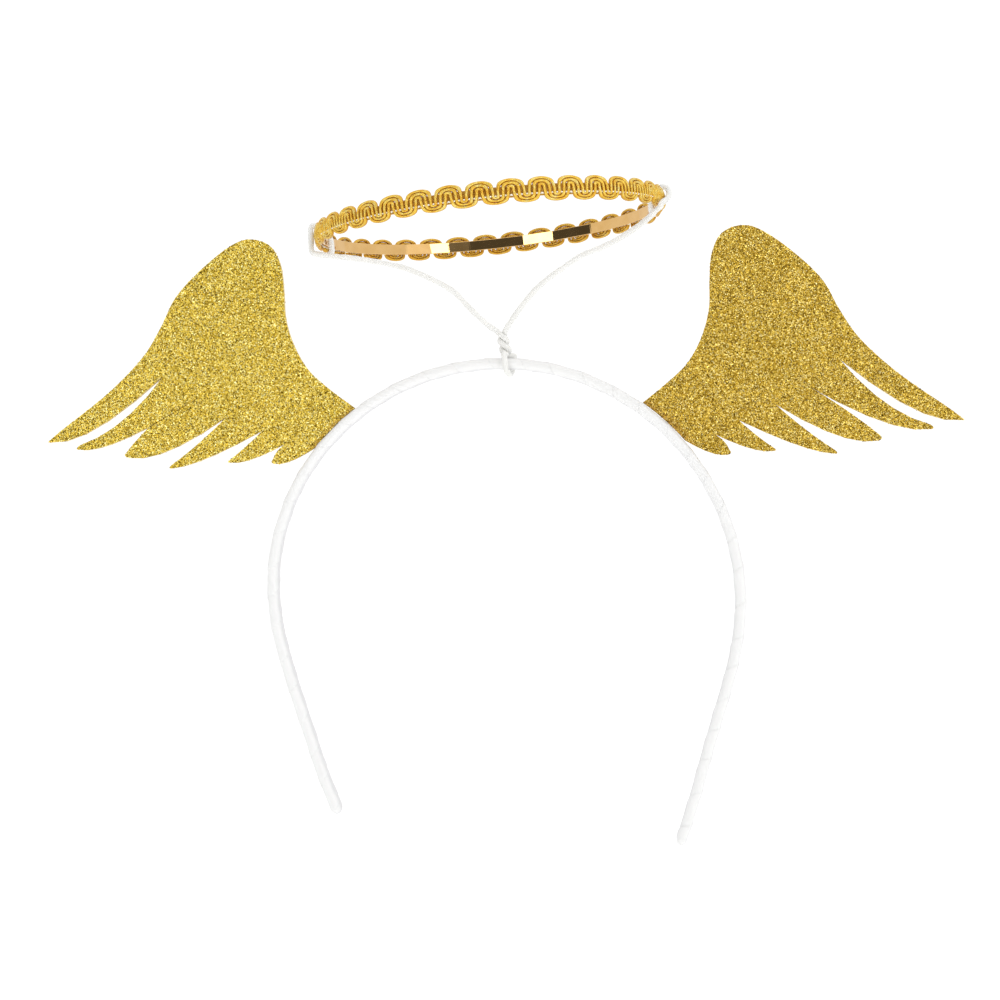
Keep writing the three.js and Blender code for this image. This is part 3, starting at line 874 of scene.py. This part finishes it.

# %% [markdown]
# ## Wrapped cords
# Each cord is a soft core with gold foil wound round it. The foil's turns are finer than the eye takes in
# at arm's length, yet they break the highlight into a soft bright line. The brown flanks beside it are
# painted shade.
# The turns could be wound in the mesh, as the wire's thread is, but there are three to a millimetre on
# three long cords, which would take more faces than all the rest. They are a bump that climbs along the
# thread map instead, with painted shade in the grooves. The cord's body is a skin of flattened rings.
# The colour carries painted light and shade: the gold is fullest along the ridge that faces out of the
# ring, duller along the back, and browner down the flanks, where one cord shades the next. Three shares
# of gold add up to that: one all over, one along both ridges, and one that the outer ridge gains and the
# back loses.

# %% Wrap the cords
CORD_STEP = 0.26 * MM
CORD_SIDES = 8
FOIL_PITCH = 0.3 * MM
FOIL_RELIEF = 0.025 * MM
FOIL_PATCHES = 700
FOIL_TONES = [(0.3, (0.88, 0.50, 0.05)), (0.5, (1.0, 0.72, 0.11)), (0.7, (1.0, 0.90, 0.32))]
FOIL_PAINTED_SHADE = (0.5, 0.22, 0.01, 1)
FOIL_GLOSS = (0.26, 0.44)
GOLD_ALL_OVER = 0.2
PAINTED_LIGHT_ON_RIDGES = 0.6
PAINTED_LIGHT_OUTWARD = 0.2
GROOVE_PAINTED_SHADE_POWER = 0.4


def ring_directions(line):
    """The directions along the ring's face and out of it, square to a closed line on the ring."""
    tangents = unit(np.roll(line, -1, axis=0) - np.roll(line, 1, axis=0))
    offset = line - ring_middle
    out = offset - (offset @ ring_up)[:, None] * ring_up
    out = unit(out - tangents * np.sum(out * tangents, axis=1, keepdims=True))
    return np.cross(tangents, out), out


def cord_mesh(name, course, half_depth, sides):
    """A closed cord along a closed course on the ring, whose fourth number is the half width."""
    line, places = smooth_line(course, CORD_STEP, looped=True)
    line, half_width = line[:, :3], line[:, 3:, None]
    across, out = ring_directions(line)
    angles = np.arange(sides)[:, None] * 2 * math.pi / sides
    wide = across[:, None] * np.cos(angles) * half_width
    deep = out[:, None] * np.sin(angles) * half_depth
    return skin(name, line[:, None] + wide + deep, places, looped=True)


def foil_finish(name):
    """Gold foil wound round a cord, with painted light on its outer ridge and painted shade on its back,
    flanks and grooves.
    """
    finish, tree, shader = new_finish(name, Metallic=0.75)
    thread = thread_map(tree)
    around = sums(tree, "MULTIPLY", thread["Y"], 2 * math.pi)
    climb = sums(tree, "MULTIPLY_ADD", thread["X"], 2 * math.pi / FOIL_PITCH, around)
    turns = sums(tree, "MULTIPLY_ADD", sums(tree, "SINE", climb), 0.5, 0.5)
    outward = sums(tree, "SINE", around)
    # Painted light and shade: the outer ridge is lightest, the back duller and the flanks browner.
    base = sums(tree, "MULTIPLY_ADD", outward, PAINTED_LIGHT_OUTWARD, GOLD_ALL_OVER)
    ridge = sums(tree, "MULTIPLY_ADD", sums(tree, "ABSOLUTE", outward), PAINTED_LIGHT_ON_RIDGES, base)
    # Painted shade in the grooves between the foil's turns.
    shown = sums(tree, "MULTIPLY", sums(tree, "POWER", turns, GROOVE_PAINTED_SHADE_POWER), ridge)
    patches = noise(tree, own_place(tree), FOIL_PATCHES, detail=3)
    colour = blend(tree, shown, FOIL_PAINTED_SHADE, ramp(tree, patches, FOIL_TONES))
    wire_up(tree, shader, colour, spread(tree, patches, *FOIL_GLOSS), turns, FOIL_RELIEF)
    return finish


foil = foil_finish("gold_foil_wrap")
for name, course in cord_courses.items():
    mesh = cord_mesh(name, course, CORD_HALF_DEPTH, CORD_SIDES)
    new_piece(name, mesh, foil, "gimp_braid")
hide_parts("halo_braid")

# %% [markdown]
# ## The stitching that holds the bars
# A fine pale thread runs along the braid, behind each bar and out again in each gap, and keeps the bars
# apart. In the picture it shows as a row of pale dots a little below the middle.
# Dots painted on the cords would lie on the bars and not between them. The thread is a cord of its own
# instead, thin and round, on a course that swings in and out once for each bar.

# %% Run the stitching
BARS_IN_SCALLOP = 6
POINTS_IN_SWING = 4
STITCH_RADIUS = 0.22 * MM
STITCH_SIDES = 6
STITCH_SWING = 0.5 * MM
STITCH_BEHIND = 0.7
STITCH_HEIGHT = -1.1 * MM
STITCH_CLOUDS = 900
STITCH_TONES = [(0.3, (0.93, 0.86, 0.62)), (0.6, (0.98, 0.95, 0.86))]


def stitch_course():
    """A thread round the ring, behind each bar and out again in each gap."""
    count = scallops * BARS_IN_SCALLOP * POINTS_IN_SWING
    share = np.arange(count) / count
    out_in_gaps = np.cos(2 * math.pi * share * scallops * BARS_IN_SCALLOP)
    radius = braid_outer - CORD_HALF_DEPTH + STITCH_SWING * (out_in_gaps - STITCH_BEHIND)
    points = on_ring(braid_turn(share), radius, STITCH_HEIGHT)
    return np.concatenate([points, np.full((count, 1), STITCH_RADIUS)], axis=1)


finish, tree, shader = new_finish("pale_stitching_thread", Roughness=0.3)
wire_up(tree, shader, ramp(tree, noise(tree, own_place(tree), STITCH_CLOUDS), STITCH_TONES))
mesh = cord_mesh("gimp_stitching", stitch_course(), STITCH_RADIUS, STITCH_SIDES)
new_piece("gimp_stitching", mesh, finish, "gimp_braid")


# %% [markdown]
# ## Marks on a flat sheet
# Two marks on the wings depend on where they lie: a strip along the band where the glitter is browner and
# darker, and a slit in the left wing that is pressed shut, so that only a dark line is left of it.
# They could be painted on a picture that is wrapped round the wing, but a picture has only so many dots,
# and has to be unwrapped first. Distances that the material works out stay sharp at any size. The helpers
# give the distance to a straight cut, and a share that fades over a span of distances.

# %% Helpers for distances in a material
def vectors(tree, operation, first, second=None, socket=0):
    """The result of a Vector Math node."""
    inputs = {0: first}
    if second is not None:
        inputs["Scale" if operation == "SCALE" else 1] = second
    return add(tree, "ShaderNodeVectorMath", inputs, operation=operation).outputs[socket]


def span_share(tree, value, low, high):
    """From 1 at the low end of a span of values to 0 at its high end."""
    inputs = {"Value": value, "From Min": low, "From Max": high, "To Min": 1.0, "To Max": 0.0}
    return add(tree, "ShaderNodeMapRange", inputs).outputs[0]


def distance_between(tree, first, second):
    """How far two places lie apart."""
    return vectors(tree, "LENGTH", vectors(tree, "SUBTRACT", first, second), socket="Value")


def distance_to_cut(tree, flat, start, end):
    """How far a place on the sheet lies from a straight cut."""
    way = Vector(end) - Vector(start)
    offset = vectors(tree, "SUBTRACT", flat, start)
    share = vectors(tree, "DOT_PRODUCT", offset, way / way.length_squared, "Value")
    share = sums(tree, "MULTIPLY_ADD", share, 1.0, use_clamp=True)
    return distance_between(tree, offset, vectors(tree, "SCALE", tuple(way), share))


print("helpers:", ", ".join(helper.__name__ for helper in (vectors, span_share, distance_to_cut)))

# %% [markdown]
# ## The foam of the wings
# The wings are cut from foam sheet with glitter glued over its faces. The cut edge shows the pale foam.
# The solids already have the right outline, so they stay. A small bevel softens the cut edge, and one
# material tells face from edge by the way the surface looks: faces get glitter, edges get foam.
# The ground coat of glitter is too fine for a mesh. A cell pattern gives each speck its own tilt and tone.
# In the picture the right wing is darker and browner, so each wing has a tint for the same tones.

# %% Coat the wings
WING_TINTS = {"wing_left": (1.0, 1.0, 1.0), "wing_right": (0.81, 0.74, 0.69)}
FOAM_BEVEL = 0.25 * MM
BEVEL_ANGLE = math.radians(50)
FACE_LIMITS = (0.8, 0.95)
SPECK_SCALE = 4000
SPECK_TILT = 0.9
SPECK_GLOSS = 0.3
GLITTER_TONES = [
    (0.0, (0.15, 0.09, 0.01)), (0.3, (0.52, 0.34, 0.03)), (0.6, (0.80, 0.57, 0.07)),
    (0.84, (0.97, 0.79, 0.18)), (0.96, (1.0, 0.93, 0.42)),
]
HEAD_CENTRE = (0, 0, -64.2 * MM)
BAND_SIDE_REACH = (67.7 * MM, 69.6 * MM)
BAND_SIDE_SHARE = 0.7
BAND_SIDE_BROWN = (0.45, 0.24, 0.05, 1)
SHUT_SLIT = ((-100.3 * MM, 0, -16 * MM), (-86.3 * MM, 0, -7.9 * MM))
SLIT_WIDTHS = (0.05 * MM, 0.22 * MM)
SLIT_BROWN = (0.22, 0.12, 0.01, 1)
FOAM_GRAINS = 2500
FOAM_GLOSS = 0.9
FOAM_TONES = [(0.3, (0.62, 0.47, 0.2)), (0.7, (0.86, 0.74, 0.45))]


def glitter_tones(tint):
    """The tones of the specks with a wing's own tint."""
    stops = []
    for place, tone in GLITTER_TONES:
        stops.append((place, tuple(part * share for part, share in zip(tone, tint))))
    return stops


def speck_colour(tree, cells, flat, tint):
    """The tones of the ground coat, with a browner, darker strip along the band and the shut slit on them.
    """
    tone = add(tree, "ShaderNodeSeparateColor", {"Color": cells}).outputs[0]
    specks = ramp(tree, tone, glitter_tones(tint))
    # The glitter turns browner and darker within a narrow strip along the band.
    near_band = span_share(tree, distance_between(tree, flat, HEAD_CENTRE), *BAND_SIDE_REACH)
    specks = blend(tree, sums(tree, "MULTIPLY", near_band, BAND_SIDE_SHARE), specks, BAND_SIDE_BROWN)
    cut = span_share(tree, distance_to_cut(tree, flat, *SHUT_SLIT), *SLIT_WIDTHS)
    return blend(tree, cut, specks, SLIT_BROWN)


def glitter_foam_finish(name, tint):
    """Glitter on the faces of the sheet and bare foam along its cut edge."""
    finish, tree, shader = new_finish(name)
    place = own_place(tree)
    surface = add(tree, "ShaderNodeNewGeometry").outputs
    facing = sums(tree, "ABSOLUTE", parts_of(tree, surface["True Normal"])["Y"])
    limits = {"Value": facing, "From Min": FACE_LIMITS[0], "From Max": FACE_LIMITS[1]}
    on_face = add(tree, "ShaderNodeMapRange", limits).outputs[0]
    cells = add(tree, "ShaderNodeTexVoronoi", {"Vector": place, "Scale": SPECK_SCALE}).outputs["Color"]
    specks = speck_colour(tree, cells, vectors(tree, "MULTIPLY", place, (1, 0, 1)), tint)
    foam = ramp(tree, noise(tree, place, FOAM_GRAINS, detail=3), FOAM_TONES)
    centred = vectors(tree, "SUBTRACT", cells, (0.5, 0.5, 0.5))
    tilt = vectors(tree, "SCALE", centred, sums(tree, "MULTIPLY", on_face, SPECK_TILT))
    normal = vectors(tree, "NORMALIZE", vectors(tree, "ADD", surface["Normal"], tilt))
    gloss = spread(tree, on_face, FOAM_GLOSS, SPECK_GLOSS)
    tree.links.new(on_face, shader.inputs["Metallic"])
    wire_up(tree, shader, blend(tree, on_face, foam, specks), gloss, normal=normal)
    return finish


for name, tint in WING_TINTS.items():
    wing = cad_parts[name]
    wing.data.materials.clear()
    wing.data.materials.append(glitter_foam_finish(name.replace("wing", "glitter_foam"), tint))
    bevel = wing.modifiers.new("cut edge", "BEVEL")
    bevel.width = FOAM_BEVEL
    bevel.segments = 2
    bevel.angle_limit = BEVEL_ANGLE
print("coated", ", ".join(WING_TINTS))

# %% [markdown]
# ## Loose flakes
# Over the ground coat lie larger flakes, each a tiny mirror at its own tilt. They catch a soft box or the
# dark room one by one, which is what makes glitter glitter, and they roughen the wing's outline.
# Blender can scatter copies of one flake as objects, but tens of thousands of objects are slow to handle,
# so the flakes of a wing are one mesh. Each is a small closed chip: a flat square on top and a point that
# is pressed into the glue below it. They are scattered evenly over both faces with a fixed seed, so every
# run gives the same wing.

# %% Scatter the flakes
FLAKES_TO_A_SQUARE_MM = 5.6
FLAKE_SIZES = (0.13 * MM, 0.22 * MM)
FLAKE_TILT = 0.24
FLAKE_HEIGHT = 0.07 * MM
FLAKE_ROOT = 0.25 * MM
FLAT_FACE = 0.9
FIRST_SEED = 11
CHIP_POINTS = 5
CHIP_TOP = (0, 1, 2, 3)
CHIP_FLANKS = [(1, 0, 4), (2, 1, 4), (3, 2, 4), (0, 3, 4)]


def face_triangles(node):
    """The triangles of both faces of a wing: their corners, the ways out of them and their areas."""
    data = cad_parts[node].data
    data.calc_loop_triangles()
    points = np.array([point.co for point in data.vertices])
    corners = points[np.array([triangle.vertices for triangle in data.loop_triangles])]
    square = np.cross(corners[:, 1] - corners[:, 0], corners[:, 2] - corners[:, 0])
    areas = np.linalg.norm(square, axis=1) / 2
    flat = np.abs(square[:, 1]) > FLAT_FACE * 2 * areas
    return corners[flat], unit(square[flat]), areas[flat]


def flake_mesh(name, node, seed):
    """Small chips over both faces of a wing."""
    corners, outward, areas = face_triangles(node)
    chance = np.random.default_rng(seed)
    count = int(areas.sum() / MM ** 2 * FLAKES_TO_A_SQUARE_MM)
    pick = chance.choice(len(areas), count, p=areas / areas.sum())
    share = chance.random((2, count))
    share = np.where(share.sum(axis=0) > 1, 1 - share, share)[..., None]
    start = corners[pick, 0]
    spot = start + share[0] * (corners[pick, 1] - start) + share[1] * (corners[pick, 2] - start)
    out = unit(outward[pick] + chance.normal(0, FLAKE_TILT, (count, 3)))
    side = unit(np.cross(out, chance.normal(0, 1, (count, 3))))
    other = np.cross(out, side)
    size = chance.uniform(*FLAKE_SIZES, (count, 1))
    top = spot + outward[pick] * FLAKE_HEIGHT
    square = [top + side * size, top + other * size, top - side * size, top - other * size]
    chips = np.stack([*square, top - out * FLAKE_ROOT], 1)
    first = np.arange(count)[:, None] * CHIP_POINTS
    tops = (first + CHIP_TOP).tolist()
    flanks = [face for flank in CHIP_FLANKS for face in (first + flank).tolist()]
    mesh = bpy.data.meshes.new(name)
    mesh.from_pydata(chips.reshape(-1, 3).tolist(), [], tops + flanks)
    return mesh


flake_meshes = {}
for seed, name in enumerate(WING_TINTS, start=FIRST_SEED):
    piece_name = name.replace("wing", "glitter")
    flake_meshes[name] = flake_mesh(piece_name, name, seed)
    print(piece_name, len(flake_meshes[name].vertices) // CHIP_POINTS, "flakes")

# %% [markdown]
# ## The shine of the flakes
# A flake is bare metal, so its gold only shows as the tint of what it mirrors. On the real sheet hardly
# two neighbours have the same tone, because each lies at its own tilt and depth in the glue.
# A texture would run across neighbouring flakes. Blender knows which chip a point is on and gives a random
# number for each, and that number picks the tone and the gloss.

# %% Finish the flakes
FLAKE_GLOSS = (0.24, 0.42)


def flake_finish(name, tint):
    """Bare metal flakes in a wing's own tones."""
    finish, tree, shader = new_finish(name, Metallic=1.0)
    tone = add(tree, "ShaderNodeNewGeometry").outputs["Random Per Island"]
    wire_up(tree, shader, ramp(tree, tone, glitter_tones(tint)), spread(tree, tone, *FLAKE_GLOSS))
    return finish


for name, mesh in flake_meshes.items():
    flakes = flake_finish(name.replace("wing", "flakes"), WING_TINTS[name])
    new_piece(name.replace("wing", "glitter"), mesh, flakes, "glitter_foam", smooth=False)

# %% [markdown]
# ## The sizes
# The dressed part should be no bigger than its solids, apart from what thread and glitter add. Both boxes
# are printed side by side.

# %% Print the sizes
DRESSED_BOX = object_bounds()
boxes = {"cad": [list(corner) for corner in CAD_BOX], "visual": [list(corner) for corner in DRESSED_BOX]}
for label, (low, high) in boxes.items():
    print(label, "box", [round((b - a) / MM, 1) for a, b in zip(low, high)], "mm")
